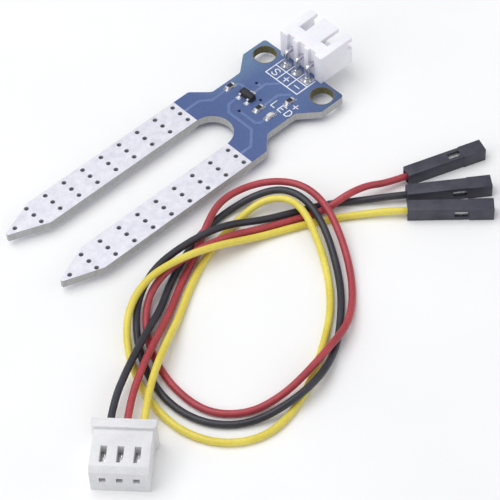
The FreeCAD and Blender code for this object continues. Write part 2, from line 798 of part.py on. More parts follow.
def make_socket(name, window_up):
    """Single socket along +x, its rear face at x = 0, then laid at the wire's end."""
    half = socket_size / 2.0
    inner = half - socket_step
    channel = socket_channel / 2.0
    mouth = socket_mouth / 2.0
    collar_x = socket_length - socket_collar
    shell = box(0, collar_x, -inner, inner, 0, socket_size)
    shell = shell.fuse(box(collar_x, socket_length, -half, half, 0, socket_size)).removeSplitter()
    shell = shell.cut(box(-past, socket_length - socket_front_wall, -channel, channel,
                          socket_pin_z - channel, socket_pin_z + channel))
    shell = shell.cut(box(socket_length - socket_front_wall - past, socket_length + past,
                          -mouth, mouth, socket_pin_z - mouth, socket_pin_z + mouth))
    window_end = socket_length - socket_window_inset
    window = box(window_end - socket_window_length, window_end, -socket_window_width / 2.0,
                 socket_window_width / 2.0, socket_pin_z, socket_size + past)
    if not window_up:
        window.rotate(V(0, 0, socket_pin_z), V(1, 0, 0), 90)
    shell = shell.cut(window)
    length = socket_length - socket_front_wall - contact_front_gap - wire_entry
    contact = make_contact(length, socket_channel, socket_pin_z)
    contact.translate(V(wire_entry, 0, 0))
    before = wire_routes[name][-2]
    end = wire_routes[name][-1]
    turn = math.degrees(math.atan2(end[1] - before[1], end[0] - before[0]))
    for node, piece in (("socket_housing_", shell), ("socket_contact_", contact)):
        piece.rotate(V(0, 0, 0), V(0, 0, 1), turn)
        piece.translate(V(end[0], end[1], 0))
        save(node + name, on_surface(piece))


def make_lead():
    make_plug()
    for name in wire_names:
        make_wire(name)
        make_socket(name, name == "red")


os.makedirs("parts", exist_ok=True)
make_sensor()
make_lead()
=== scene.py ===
import bpy
import math
from mathutils import Matrix, Vector


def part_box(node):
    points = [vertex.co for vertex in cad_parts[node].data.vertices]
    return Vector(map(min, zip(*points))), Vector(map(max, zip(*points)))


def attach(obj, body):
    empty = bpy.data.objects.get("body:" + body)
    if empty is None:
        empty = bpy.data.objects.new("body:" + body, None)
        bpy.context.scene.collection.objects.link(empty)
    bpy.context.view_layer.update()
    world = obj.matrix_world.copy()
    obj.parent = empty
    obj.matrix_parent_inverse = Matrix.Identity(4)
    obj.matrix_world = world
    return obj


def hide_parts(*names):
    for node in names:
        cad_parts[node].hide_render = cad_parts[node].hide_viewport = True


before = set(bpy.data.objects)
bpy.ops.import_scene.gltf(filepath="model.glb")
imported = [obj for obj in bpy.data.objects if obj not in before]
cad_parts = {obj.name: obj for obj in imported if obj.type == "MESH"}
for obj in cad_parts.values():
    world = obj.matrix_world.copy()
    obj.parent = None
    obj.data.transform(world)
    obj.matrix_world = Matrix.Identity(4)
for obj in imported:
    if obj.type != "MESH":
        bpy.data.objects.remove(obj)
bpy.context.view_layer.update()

# ---------------------------------------------------------------------------
# Soil moisture sensor: two-pronged blue board with a white header, and its
# lead lying beside it. Metres, +X towards the header, +Z up.
# ---------------------------------------------------------------------------
MM = 0.001
merge_distance = 0.0005 * MM
# In millimetres: the pitch of the pins and wires, and how far a cutter runs out
# past the surface that it opens.
pin_pitch = 2.54
clear = 1.0

# ---------------------------------------------------------------------------
# Camera
# ---------------------------------------------------------------------------
eye = Vector((-0.1576, -0.1962, 0.2725))
aim = Vector((-0.0079, -0.0233, 0.0026))
lens_length = 160.0
tilt = math.radians(-3.07)


def set_camera():
    """A long lens on the aim, leaning a little to one side."""
    ahead = (aim - eye).normalized()
    level = ahead.cross(Vector((0.0, 0.0, 1.0))).normalized()
    above = level.cross(ahead)
    across = level * math.cos(tilt) + above * math.sin(tilt)
    upright = above * math.cos(tilt) - level * math.sin(tilt)
    turn = Matrix((across, upright, -ahead)).transposed()
    bpy.ops.object.camera_add(location=eye, rotation=turn.to_euler())
    camera = bpy.context.object
    camera.data.lens = lens_length
    camera.data.clip_start = 0.01
    camera.data.clip_end = 10.0
    bpy.context.scene.camera = camera


# ---------------------------------------------------------------------------
# Lengths and routes of the three wires, from inside the plug to inside the
# socket. Metres.
# ---------------------------------------------------------------------------
wire_diameter = 1.2 * MM
wire_routes = {
    "black": (
        (-0.04788, -0.03492, 0.00260), (-0.04347, -0.03085, 0.00260), (-0.03774, -0.02755, 0.00270),
        (-0.03135, -0.02441, 0.00260), (-0.02546, -0.02125, 0.00080), (-0.02043, -0.01802, 0.00060),
        (-0.01470, -0.01537, 0.00060), (-0.00862, -0.01354, 0.00060), (-0.00295, -0.01345, 0.00060),
        (0.00158, -0.01488, 0.00180), (0.00489, -0.01764, 0.00280), (0.00592, -0.02202, 0.00280),
        (0.00444, -0.02755, 0.00200), (0.00147, -0.03314, 0.00060), (-0.00245, -0.03847, 0.00060),
        (-0.00702, -0.04286, 0.00060), (-0.01133, -0.04616, 0.00080), (-0.01698, -0.04888, 0.00220),
        (-0.02339, -0.04939, 0.00220), (-0.03005, -0.04723, 0.00060), (-0.03470, -0.04297, 0.00060),
        (-0.03652, -0.03703, 0.00060), (-0.03563, -0.03034, 0.00060), (-0.03247, -0.02373, 0.00060),
        (-0.02774, -0.01805, 0.00130), (-0.02168, -0.01515, 0.00240), (-0.01451, -0.01514, 0.00280),
        (-0.00756, -0.01664, 0.00300), (-0.00137, -0.01906, 0.00100), (0.00409, -0.02140, 0.00060),
        (0.00900, -0.02379, 0.00060), (0.01306, -0.02705, 0.00070), (0.01607, -0.02968, 0.00127),
        (0.01992, -0.03255, 0.00127),
    ),
    "red": (
        (-0.04616, -0.03679, 0.00260), (-0.04175, -0.03272, 0.00260), (-0.03631, -0.02913, 0.00270),
        (-0.03036, -0.02589, 0.00220), (-0.02489, -0.02276, 0.00070), (-0.01979, -0.01960, 0.00060),
        (-0.01428, -0.01690, 0.00060), (-0.00947, -0.01440, 0.00200), (-0.00442, -0.01209, 0.00240),
        (0.00082, -0.01268, 0.00240), (0.00508, -0.01506, 0.00250), (0.00773, -0.01922, 0.00280),
        (0.00746, -0.02486, 0.00280), (0.00514, -0.03061, 0.00160), (0.00188, -0.03609, 0.00060),
        (-0.00217, -0.04079, 0.00060), (-0.00688, -0.04441, 0.00160), (-0.01241, -0.04605, 0.00260),
        (-0.01821, -0.04707, 0.00240), (-0.02338, -0.04719, 0.00160), (-0.02877, -0.04569, 0.00060),
        (-0.03311, -0.04169, 0.00060), (-0.03412, -0.03603, 0.00060), (-0.03319, -0.02991, 0.00060),
        (-0.03062, -0.02385, 0.00060), (-0.02644, -0.01900, 0.00140), (-0.02137, -0.01697, 0.00240),
        (-0.01504, -0.01718, 0.00260), (-0.00853, -0.01843, 0.00250), (-0.00246, -0.02036, 0.00090),
        (0.00307, -0.02263, 0.00060), (0.00751, -0.02464, 0.00080), (0.01124, -0.02579, 0.00260),
        (0.01508, -0.02665, 0.00250), (0.01852, -0.02783, 0.00127), (0.02296, -0.02942, 0.00127),
    ),
    "yellow": (
        (-0.04443, -0.03866, 0.00260), (-0.04003, -0.03459, 0.00260), (-0.03489, -0.03070, 0.00270),
        (-0.02944, -0.02743, 0.00220), (-0.02432, -0.02441, 0.00070), (-0.01929, -0.02119, 0.00060),
        (-0.01399, -0.01857, 0.00060), (-0.00833, -0.01678, 0.00060), (-0.00294, -0.01593, 0.00080),
        (0.00117, -0.01663, 0.00200), (0.00377, -0.01944, 0.00290), (0.00406, -0.02332, 0.00280),
        (0.00185, -0.02878, 0.00160), (-0.00153, -0.03455, 0.00060), (-0.00576, -0.03948, 0.00060),
        (-0.01054, -0.04318, 0.00060), (-0.01666, -0.04693, 0.00060), (-0.02362, -0.04998, 0.00060),
        (-0.03054, -0.05047, 0.00060), (-0.03607, -0.04664, 0.00060), (-0.03877, -0.04035, 0.00060),
        (-0.03831, -0.03293, 0.00060), (-0.03552, -0.02536, 0.00060), (-0.03082, -0.01925, 0.00220),
        (-0.02487, -0.01679, 0.00360), (-0.01850, -0.01728, 0.00390), (-0.01159, -0.01914, 0.00330),
        (-0.00438, -0.02111, 0.00090), (0.00248, -0.02396, 0.00060), (0.00809, -0.02707, 0.00060),
        (0.01175, -0.02986, 0.00080), (0.01445, -0.03224, 0.00127), (0.01750, -0.03515, 0.00127),
    ),
}

# ---------------------------------------------------------------------------
# Shaping
# ---------------------------------------------------------------------------
def work_on(piece):
    """Make this the one piece that the next operators act on."""
    bpy.ops.object.select_all(action="DESELECT")
    piece.select_set(True)
    bpy.context.view_layer.objects.active = piece


def settle(piece):
    """Put a piece's place, turn and size into its mesh."""
    work_on(piece)
    bpy.ops.object.transform_apply(location=True, rotation=True, scale=True)
    return piece


def set_down(piece, place, turn):
    """Turn a piece about Z and carry it to its place."""
    piece.rotation_euler = (0.0, 0.0, turn)
    piece.location = place
    return settle(piece)


def block(name, low, high):
    """A block between two corners given in millimetres."""
    low, high = Vector(low) * MM, Vector(high) * MM
    bpy.ops.object.select_all(action="DESELECT")
    bpy.ops.mesh.primitive_cube_add(size=1.0, location=(low + high) / 2.0)
    piece = bpy.context.object
    piece.name = name
    piece.scale = high - low
    return settle(piece)


def twin(piece, name, move=(0.0, 0.0, 0.0)):
    """A copy with a mesh of its own, moved by millimetres."""
    other = piece.copy()
    other.data = piece.data.copy()
    other.name = name
    other.data.name = name
    bpy.context.scene.collection.objects.link(other)
    other.location = Vector(move) * MM
    return settle(other)


def worked(piece, kind, **settings):
    """Add a modifier with these settings and apply it."""
    work_on(piece)
    step = piece.modifiers.new(kind.lower(), kind)
    for key, value in settings.items():
        setattr(step, key, value)
    bpy.ops.object.modifier_apply(modifier=step.name)
    return piece


def cut(piece, *cutters):
    """Take the cutters out of the piece."""
    for cutter in cutters:
        worked(piece, "BOOLEAN", operation="DIFFERENCE", solver="EXACT", object=cutter)
        drop(cutter)
    return piece


def drop(*pieces):
    """Remove pieces that were only there to cut or to be copied."""
    for piece in pieces:
        bpy.data.objects.remove(piece, do_unlink=True)


def joined(name, pieces):
    """Make one piece of several."""
    bpy.ops.object.select_all(action="DESELECT")
    for piece in pieces:
        piece.select_set(True)
    bpy.context.view_layer.objects.active = pieces[0]
    if len(pieces) > 1:
        bpy.ops.object.join()
    pieces[0].name = name
    return pieces[0]


def open_whole(piece):
    """Open a piece in edit mode with all of it chosen."""
    work_on(piece)
    bpy.ops.object.mode_set(mode="EDIT")
    bpy.ops.mesh.select_all(action="SELECT")


def choose(piece, wanted, mode="FACE"):
    """Open a piece in edit mode with only the faces, or edges, chosen that pass a test."""
    work_on(piece)
    bpy.ops.object.mode_set(mode="EDIT")
    bpy.ops.mesh.select_mode(type=mode)
    bpy.ops.mesh.select_all(action="DESELECT")
    bpy.ops.object.mode_set(mode="OBJECT")
    if mode == "FACE":
        for face in piece.data.polygons:
            face.select = bool(wanted(face.center / MM, face.normal))
    else:
        points = piece.data.vertices
        for edge in piece.data.edges:
            start, end = (points[i].co / MM for i in edge.vertices)
            edge.select = bool(wanted((start + end) / 2.0, end - start))
    bpy.ops.object.mode_set(mode="EDIT")


def faces_up(centre, normal):
    """A test for choose: the faces that look up."""
    return normal.z > 0.9


def done():
    """Leave edit mode."""
    bpy.ops.object.mode_set(mode="OBJECT")


def push(x=0.0, y=0.0, z=0.0):
    """Extrude what is chosen by millimetres."""
    bpy.ops.mesh.extrude_region_move(TRANSFORM_OT_translate={"value": (x * MM, y * MM, z * MM)})


def trim(size, segments, **settings):
    """Bevel the chosen edges by millimetres."""
    bpy.ops.mesh.bevel(offset=size * MM, segments=segments, affect="EDGES", **settings)


def scale_chosen(centre, x, y, z=1.0):
    """Scale what is chosen about a centre given in millimetres."""
    bpy.ops.transform.resize(value=(x, y, z), center_override=tuple(Vector(centre) * MM))


def tidy_mesh(piece):
    """Merge doubles, join flat neighbours and point every face outwards."""
    open_whole(piece)
    bpy.ops.mesh.remove_doubles(threshold=merge_distance)
    bpy.ops.mesh.dissolve_limited(angle_limit=math.radians(1.0))
    bpy.ops.mesh.normals_make_consistent(inside=False)
    done()
    return piece


def softened(piece, width, segments, angle=35.0):
    """Round every edge sharper than the angle, clear faces of no area, and shade it smooth."""
    worked(piece, "BEVEL", width=width * MM, segments=segments, limit_method="ANGLE",
           angle_limit=math.radians(angle), use_clamp_overlap=True)
    open_whole(piece)
    bpy.ops.mesh.remove_doubles(threshold=merge_distance)
    bpy.ops.mesh.dissolve_degenerate(threshold=merge_distance)
    done()
    bpy.ops.object.shade_smooth_by_angle(angle=math.radians(angle))
    return piece


def raised_disc(name, centre, rings):
    """A round form grown ring by ring from a disc. Rings are (radius, height) in millimetres."""
    sides = 32
    radius, height = rings[0]
    centre = Vector(centre)
    place = (centre + Vector((0.0, 0.0, height))) * MM
    bpy.ops.object.select_all(action="DESELECT")
    bpy.ops.mesh.primitive_circle_add(vertices=sides, radius=radius * MM, fill_type="NGON",
                                      location=place)
    piece = settle(bpy.context.object)
    piece.name = name
    bpy.ops.object.mode_set(mode="EDIT")
    bpy.ops.mesh.select_mode(type="FACE")
    bpy.ops.mesh.select_all(action="SELECT")
    for next_radius, next_height in rings[1:]:
        push(z=next_height - height)
        share = next_radius / radius
        scale_chosen(centre + Vector((0.0, 0.0, next_height)), share, share)
        radius, height = next_radius, next_height
    bpy.ops.mesh.select_all(action="SELECT")
    bpy.ops.mesh.normals_make_consistent(inside=False)
    done()
    return piece


# ---------------------------------------------------------------------------
# Finishes
# ---------------------------------------------------------------------------
def tone(red, green, blue):
    """A colour given as it looks on screen, 0 to 255."""
    def linear(value):
        value /= 255.0
        return value / 12.92 if value <= 0.04045 else ((value + 0.055) / 1.055) ** 2.4
    return (linear(red), linear(green), linear(blue), 1.0)


class Finish:
    """A material and the few node moves that the finishes share."""

    def __init__(self, name, **sockets):
        self.material = bpy.data.materials.new(name)
        self.material.use_nodes = True
        self.tree = self.material.node_tree
        self.skin = self.tree.nodes["Principled BSDF"]
        for key, value in sockets.items():
            self.skin.inputs[key.replace("_", " ")].default_value = value
        self.place = self.add("ShaderNodeTexCoord").outputs["Object"]

    def add(self, kind, inputs=(), **settings):
        """A node of this kind, with values or links for its inputs."""
        made = self.tree.nodes.new(kind)
        for key, value in settings.items():
            setattr(made, key, value)
        for key, value in dict(inputs).items():
            self.feed(made.inputs[key], value)
        return made

    def feed(self, socket, value):
        if isinstance(value, bpy.types.NodeSocket):
            self.tree.links.new(value, socket)
        else:
            socket.default_value = value

    def noise(self, per_mm, detail=4.0, rough=0.55, stretch=None):
        """Noise with this many patches to a millimetre."""
        place = self.place
        if stretch is not None:
            place = self.add("ShaderNodeMapping", {"Vector": place, "Scale": stretch}).outputs["Vector"]
        return self.add("ShaderNodeTexNoise", {"Vector": place, "Scale": per_mm / MM, "Detail": detail,
                                               "Roughness": rough}).outputs["Fac"]

    def ramp(self, value, stops):
        """Colours at their places along a value."""
        made = self.add("ShaderNodeValToRGB", {"Fac": value})
        band = made.color_ramp
        while len(band.elements) < len(stops):
            band.elements.new(0.5)
        for element, (position, colour) in zip(band.elements, stops):
            element.position = position
            element.color = colour
        return made.outputs["Color"]

    def span(self, value, low, high, start, end):
        """Low to high, as the value goes from start to end."""
        return self.add("ShaderNodeMapRange", {"Value": value, "From Min": start, "From Max": end,
                                               "To Min": low, "To Max": high}).outputs["Result"]

    def mix(self, share, first, second, blend="MIX"):
        """Two colours, with this share of the second."""
        made = self.add("ShaderNodeMix", data_type="RGBA", blend_type=blend)
        self.feed(made.inputs[0], share)
        self.feed(made.inputs[6], first)
        self.feed(made.inputs[7], second)
        return made.outputs[2]

    def maths(self, operation, *values):
        made = self.add("ShaderNodeMath", operation=operation)
        for socket, value in zip(made.inputs, values):
            self.feed(socket, value)
        return made.outputs["Value"]

    def axis(self, letter):
        """One coordinate of the piece's own space."""
        return self.add("ShaderNodeSeparateXYZ", {"Vector": self.place}).outputs[letter]

    def colour(self, value):
        self.feed(self.skin.inputs["Base Color"], value)

    def rough(self, noise, low, high):
        """Roughness from low to high over the part of its range that a noise mostly keeps to."""
        self.feed(self.skin.inputs["Roughness"], self.span(noise, low, high, 0.3, 0.7))

    def bump(self, height, depth_mm, strength):
        made = self.add("ShaderNodeBump", {"Height": height, "Distance": depth_mm * MM,
                                           "Strength": strength})
        self.feed(self.skin.inputs["Normal"], made.outputs["Normal"])


def mask_finish(name, near, far, patch):
    """Glossy solder mask. Its colour drifts from near, by the prongs, to far, by the header, with
    patches of a third tone. A painted sheen makes the left side lighter, and painted shade from the
    header makes the right corner darker."""
    # painted light: a lighter teal for a painted sheen, and a darker teal for painted shade
    sheen_teal, header_shade_teal = tone(114, 142, 172), tone(54, 78, 112)
    made = Finish(name, Coat_Weight=0.25, Coat_Roughness=0.12)
    along, across = made.axis("X"), made.axis("Y")

    def rise(way, start, end, low=0.0, high=1.0):
        """Low to high between two places on the board, in millimetres."""
        return made.span(way, low, high, start * MM, end * MM)

    body = made.mix(rise(along, 4.0, 27.0), near, far)
    patches = made.span(made.noise(0.07, 3.0), 0.0, 0.35, 0.35, 0.75)
    body = made.mix(patches, body, patch)
    # painted sheen: the left side of the board is made lighter
    painted_sheen_share = made.maths("MULTIPLY", rise(along, 9.0, 15.0), rise(across, 4.0, 8.0, high=0.7))
    body = made.mix(painted_sheen_share, body, sheen_teal)
    # painted shade by the header: the right corner is made darker
    painted_shade_share = made.maths("MULTIPLY", rise(along, 17.0, 25.0), rise(across, -8.5, -4.5, 0.55, 0.0))
    body = made.mix(painted_shade_share, body, header_shade_teal)
    grain = made.noise(2.2, 5.0)
    shade = made.ramp(grain, [(0.3, (0.86, 0.87, 0.9, 1)), (0.7, (1.0, 1.0, 1.0, 1))])
    made.colour(made.mix(1.0, body, shade, "MULTIPLY"))
    made.rough(made.noise(0.9), 0.3, 0.46)
    made.bump(made.noise(1.6, 3.0), 0.02, 0.35)
    return made.material


def tinned_finish():
    """Tin-levelled copper: bright, slightly mottled, with fine scratches along the prong."""
    made = Finish("tinned_plating", Metallic=0.35)
    cloud = made.noise(0.7, 6.0, 0.62)
    base = made.ramp(cloud, [(0.3, tone(221, 222, 233)), (0.5, tone(234, 234, 243)),
                             (0.72, tone(244, 244, 251))])
    scratch = made.noise(2.0, 5.0, 0.7, (0.6, 1.8, 1.0))
    streak = made.ramp(scratch, [(0.34, (0.9, 0.9, 0.93, 1)), (0.48, (1, 1, 1, 1))])
    speck = made.ramp(made.noise(5.0, 2.0), [(0.3, (0.93, 0.93, 0.95, 1)), (0.45, (1, 1, 1, 1))])
    made.colour(made.mix(1.0, made.mix(0.55, base, streak, "MULTIPLY"), speck, "MULTIPLY"))
    made.rough(made.noise(1.1, 5.0), 0.32, 0.58)
    made.bump(made.noise(1.8, 5.0), 0.02, 0.5)
    return made.material


def barrel_finish():
    """Plated hole: a thin dark line round each rim, and soft grey tin on the wall inside."""
    made = Finish("hole_plating", Metallic=0.1)
    rim_depth = 0.22 * MM
    under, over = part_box("via_barrels_left")
    from_top = made.maths("SUBTRACT", over.z, made.axis("Z"))
    from_under = made.maths("SUBTRACT", made.axis("Z"), under.z)
    inside = made.span(made.maths("MINIMUM", from_top, from_under), 0.0, 1.0, 0.0, rim_depth)
    wall = made.ramp(inside, [(0.0, tone(116, 116, 122)), (0.3, tone(190, 190, 197)),
                              (1.0, tone(168, 168, 175))])
    patches = made.span(made.noise(3.0), 0.0, 0.4, 0.35, 0.7)
    made.colour(made.mix(patches, wall, tone(200, 200, 206)))
    made.rough(made.noise(2.0), 0.35, 0.6)
    made.bump(made.noise(4.0), 0.02, 0.4)
    return made.material


def laminate_finish():
    """Cut glass laminate: thin woven plies in the edge, olive inside the mounting holes."""
    made = Finish("laminate_edge")
    hole_inset, hole_offset = 2.55 * MM, 7.0 * MM
    olive_to, grey_from = 2.05 * MM, 2.3 * MM
    ply = made.add("ShaderNodeTexWave", {"Vector": made.place, "Scale": 1.15 / MM, "Distortion": 1.2,
                                         "Detail": 3.0, "Detail Scale": 1.6}, wave_type="BANDS",
                   bands_direction="Z").outputs["Fac"]
    weave = made.noise(2.4, 5.0, 0.6, (1.0, 1.0, 0.35))
    grey = made.ramp(weave, [(0.3, tone(164, 164, 164)), (0.55, tone(184, 184, 184)),
                             (0.75, tone(198, 198, 197))])
    plies = made.ramp(ply, [(0.2, tone(154, 154, 149)), (0.8, tone(200, 200, 198))])
    grey = made.mix(0.25, grey, plies)
    flat = made.add("ShaderNodeMapping", {"Vector": made.place, "Scale": (1.0, 1.0, 0.0)})
    hole_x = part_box("solder_mask_top")[1].x - hole_inset
    reaches = []
    for hole_y in (hole_offset, -hole_offset):
        ends = {0: flat.outputs["Vector"], 1: (hole_x, hole_y, 0.0)}
        reach = made.add("ShaderNodeVectorMath", ends, operation="DISTANCE")
        reaches.append(reach.outputs["Value"])
    in_hole = made.span(made.maths("MINIMUM", *reaches), 1.0, 0.0, olive_to, grey_from)
    olive = made.ramp(weave, [(0.3, tone(84, 82, 52)), (0.7, tone(122, 118, 82))])
    made.colour(made.mix(in_hole, grey, olive))
    made.rough(weave, 0.5, 0.75)
    made.bump(made.maths("ADD", weave, made.maths("MULTIPLY", ply, 0.4)), 0.03, 0.6)
    return made.material


def metal_finish(name, dark, light, low, high, metallic, per_mm=1.6, depth=0.02):
    """Tinned or soldered metal with soft patches in its tone and gloss, rough from low to high."""
    made = Finish(name, Metallic=metallic)
    made.colour(made.ramp(made.noise(per_mm, 5.0), [(0.32, dark), (0.68, light)]))
    made.rough(made.noise(per_mm * 1.7, 4.0), low, high)
    made.bump(made.noise(per_mm * 1.3, 4.0), depth, 0.5)
    return made.material


def plastic_finish(name, dark, light, low, high, per_mm, depth=0.015, **sockets):
    """Moulded plastic: a fine matt grain and slow patches of tone, rough from low to high."""
    made = Finish(name, **sockets)
    slow = made.noise(per_mm * 0.25, 3.0)
    fine = made.noise(per_mm * 3.0, 5.0, 0.6)
    both = made.maths("ADD", made.maths("MULTIPLY", slow, 0.6), made.maths("MULTIPLY", fine, 0.4))
    made.colour(made.ramp(both, [(0.36, dark), (0.62, light)]))
    made.rough(fine, low, high)
    made.bump(fine, depth, 0.5)
    return made.material


def floor_finish():
    """A pale matt floor with barely seen clouds."""
    made = Finish("studio_floor", Roughness=0.75)
    clouds = made.noise(0.02, 3.0)
    made.colour(made.ramp(clouds, [(0.3, tone(247, 247, 248)), (0.7, tone(252, 252, 252))]))
    return made.material


solder_look = {"metallic": 1.0, "per_mm": 0.8, "depth": 0.006}
wire_look = {"low": 0.28, "high": 0.46, "per_mm": 0.8, "depth": 0.02}
finish = {
    "mask": mask_finish("mask_blue", tone(74, 93, 148), tone(86, 109, 156), tone(90, 114, 162)),
    "trace": mask_finish("trace_blue", tone(96, 117, 170), tone(106, 130, 174), tone(110, 134, 180)),
    "tinned": tinned_finish(),
    "barrel": barrel_finish(),
    "laminate": laminate_finish(),
    "solder": metal_finish("bright_solder", tone(186, 186, 192), tone(226, 226, 230), 0.16, 0.3,
                           **solder_look),
    "pad": metal_finish("tinned_pad", tone(196, 197, 204), tone(232, 232, 238), 0.3, 0.5, 0.5),
    "via": metal_finish("covered_via", tone(34, 42, 84), tone(52, 62, 112), 0.35, 0.55, 0.1, 4.0),
    "pin": metal_finish("tinned_pin", tone(178, 178, 186), tone(220, 220, 226), 0.18, 0.34,
                        **solder_look),
    "leg": metal_finish("tinned_leg", tone(200, 200, 206), tone(238, 238, 242), 0.22, 0.42, 0.7),
    "contact": metal_finish("contact_strip", tone(188, 188, 190), tone(224, 224, 226), 0.22, 0.4, 0.8),
    "ink": plastic_finish("print_white", tone(222, 224, 234), tone(244, 245, 250), 0.5, 0.75,
                          3.0, 0.006),
    "nylon": plastic_finish("moulded_nylon", tone(240, 240, 250), tone(249, 249, 254), 0.36, 0.52,
                            0.9, Subsurface_Weight=0.12, Subsurface_Scale=0.8 * MM),
    "plug": plastic_finish("plug_nylon", tone(219, 219, 222), tone(232, 232, 234), 0.38, 0.55,
                           0.9, Subsurface_Weight=0.08, Subsurface_Scale=0.8 * MM),
    "glaze": plastic_finish("resistor_glaze", tone(24, 24, 28), tone(44, 44, 50), 0.22, 0.4, 3.0),
    "ceramic": plastic_finish("resistor_ceramic", tone(196, 196, 196), tone(226, 226, 224), 0.45,
                              0.65, 3.0),
    "epoxy": plastic_finish("epoxy_black", tone(26, 27, 34), tone(48, 49, 58), 0.34, 0.58, 3.0),
    "led_shell": plastic_finish("led_shell", tone(232, 232, 230), tone(246, 246, 245), 0.4, 0.6,
                                3.0),
    "resin": plastic_finish("led_resin", tone(246, 247, 246), tone(254, 254, 253), 0.08, 0.18,
                            3.0, 0.005, Transmission_Weight=0.25, IOR=1.5),
    "black": plastic_finish("insulation_black", tone(38, 38, 47), tone(56, 56, 66), **wire_look),
    "red": plastic_finish("insulation_red", tone(158, 52, 62), tone(184, 70, 79), **wire_look),
    "yellow": plastic_finish("insulation_yellow", tone(221, 201, 72), tone(237, 221, 98),
                             **wire_look),
    "socket": plastic_finish("socket_black", tone(48, 48, 61), tone(70, 70, 84), 0.36, 0.56,
                             1.4, 0.02),
}


def dress(piece, name):
    """Give a piece one finish."""
    piece.data.materials.clear()
    piece.data.materials.append(finish[name])


def keep(node, name):
    """A CAD node whose shape is right gets its finish."""
    dress(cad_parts[node], name)


def stand_for(piece, body, name, slot, *nodes):
    """Dress a new piece, set it on its body and let it stand for its CAD nodes."""
    dress(piece, name)
    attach(piece, body)
    if nodes:
        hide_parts(*nodes)
    return piece


# ---------------------------------------------------------------------------
# Board
# ---------------------------------------------------------------------------
def corners_of(node):
    """A CAD node's lowest and highest corners, in millimetres."""
    return tuple(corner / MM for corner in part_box(node))


top_z = corners_of("solder_mask_top")[1].z
board_under = corners_of("solder_mask_bottom")[0].z


def dress_board():
    """The board's CAD nodes have the right shape, so they only get their finishes."""
    keep("pcb_core", "laminate")
    for side in ("left", "right"):
        keep("via_barrels_" + side, "barrel")
        for layer in ("top", "bottom"):
            keep("electrode_" + side + "_" + layer, "tinned")
    for layer in ("top", "bottom"):
        keep("solder_mask_" + layer, "mask")
        keep("header_pads_" + layer, "pad")
    keep("component_pads", "pad")
    keep("signal_vias", "via")


def lifted(node, name, rise):
    """A copy of a flat CAD node whose upper faces stand this much higher."""
    piece = tidy_mesh(twin(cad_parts[node], name))
    choose(piece, faces_up)
    bpy.ops.transform.translate(value=(0.0, 0.0, rise * MM))
    done()
    return softened(piece, 0.02, 2, 60.0)


def make_traces():
    """Tracks stand a little proud under the mask, and so does the print on it."""
    ridges = lifted("copper_traces_top", "trace_ridges", 0.035)
    stand_for(ridges, "sensor", "trace", "blue_mask", "copper_traces_top")
    print_piece = lifted("legend_ink", "printed_legend", 0.03)
    stand_for(print_piece, "sensor", "ink", "white_ink", "legend_ink")


# ---------------------------------------------------------------------------
# Header, pins and solder
# ---------------------------------------------------------------------------
header_low, header_high = corners_of("header_housing")
pin_low, pin_high = corners_of("header_pin_power")
pin_size = pin_high.y - pin_low.y
pin_x = pin_low.x + pin_size / 2.0
pin_level = pin_high.z - pin_size / 2.0
pins = {"signal": pin_pitch, "power": 0.0, "ground": -pin_pitch}


def make_header():
    """Housing with a deep mouth, two slots in its roof, notched sides, and a bay and hole per pin."""
    wall, mouth_depth = 0.8, 6.0
    slot_y, slot_half, slot_length, slot_depth = 2.6, 0.8, 4.4, 1.6
    notch_length, notch_width, notch_top, notch_foot = 0.9, 1.6, 0.9, 2.2
    bay_half, bay_depth = 0.75, 0.6
    hole_half, hole_depth = 0.36, 2.0
    half = header_high.y
    roof = header_high.z
    front, rear = header_high.x, header_low.x
    shell = block("header_shell", header_low, header_high)
    choose(shell, lambda centre, normal: normal.x > 0.9)
    bpy.ops.mesh.inset(thickness=wall * MM)
    push(x=-mouth_depth)
    done()
    for side in (1, -1):
        middle = side * slot_y
        cut(shell, block("slot", (front - slot_length, middle - slot_half, roof - slot_depth),
                         (front + clear, middle + slot_half, roof + clear)))
        low, high = sorted((side * (half - notch_width), side * (half + clear)))
        cut(shell, block("notch", (front - notch_length, low, roof - notch_foot),
                         (front + clear, high, roof - notch_top)))
    for y in pins.values():
        cut(shell, block("bay", (rear - clear, y - bay_half, header_low.z - clear),
                         (rear + bay_depth, y + bay_half, roof + clear)))
        cut(shell, block("hole", (rear - clear, y - hole_half, pin_level - hole_half),
                         (rear + hole_depth, y + hole_half, pin_level + hole_half)))
    tidy_mesh(shell)
    softened(shell, 0.13, 3, 40.0)
    stand_for(shell, "sensor", "nylon", "white_nylon", "header_housing")


def make_pins():
    """Square pins: up from the board, a soft bend, then into the header, with tapered ends."""
    foot, foot_taper = 0.25, 0.6
    tip, tip_taper = 0.4, 0.55
    near = 0.02
    half = pin_size / 2.0
    top, inner = pin_level + half, pin_level - half
    bends = ((pin_x - half, top, 0.62), (pin_x + half, inner, 0.22))
    pin = block("pin", (pin_x - half, -half, foot), (pin_x + half, half, top))
    open_whole(pin)
    bpy.ops.mesh.bisect(plane_co=(0.0, 0.0, inner * MM), plane_no=(0.0, 0.0, 1.0))
    done()
    choose(pin, lambda centre, normal: normal.x > 0.9 and centre.z > inner)
    push(x=pin_high.x - tip - pin_x - half)
    push(x=tip)
    scale_chosen((pin_high.x, 0.0, pin_level), 1.0, tip_taper, tip_taper)
    done()
    choose(pin, lambda centre, normal: normal.z < -0.9 and centre.z < foot + near)
    push(z=-foot)
    scale_chosen((pin_x, 0.0, 0.0), foot_taper, foot_taper)
    done()
    for corner_x, corner_z, size in bends:
        choose(pin, lambda centre, run: abs(centre.x - corner_x) < near
               and abs(centre.z - corner_z) < near and abs(run.y) > 0.5, "EDGE")
        trim(size, 7)
        done()
    softened(pin, 0.06, 2, 50.0)
    for name, y in pins.items():
        piece = twin(pin, "bent_pin_" + name, (0.0, y, 0.0))
        stand_for(piece, "sensor", "pin", "tinned_pin", "header_pin_" + name)
    drop(pin)


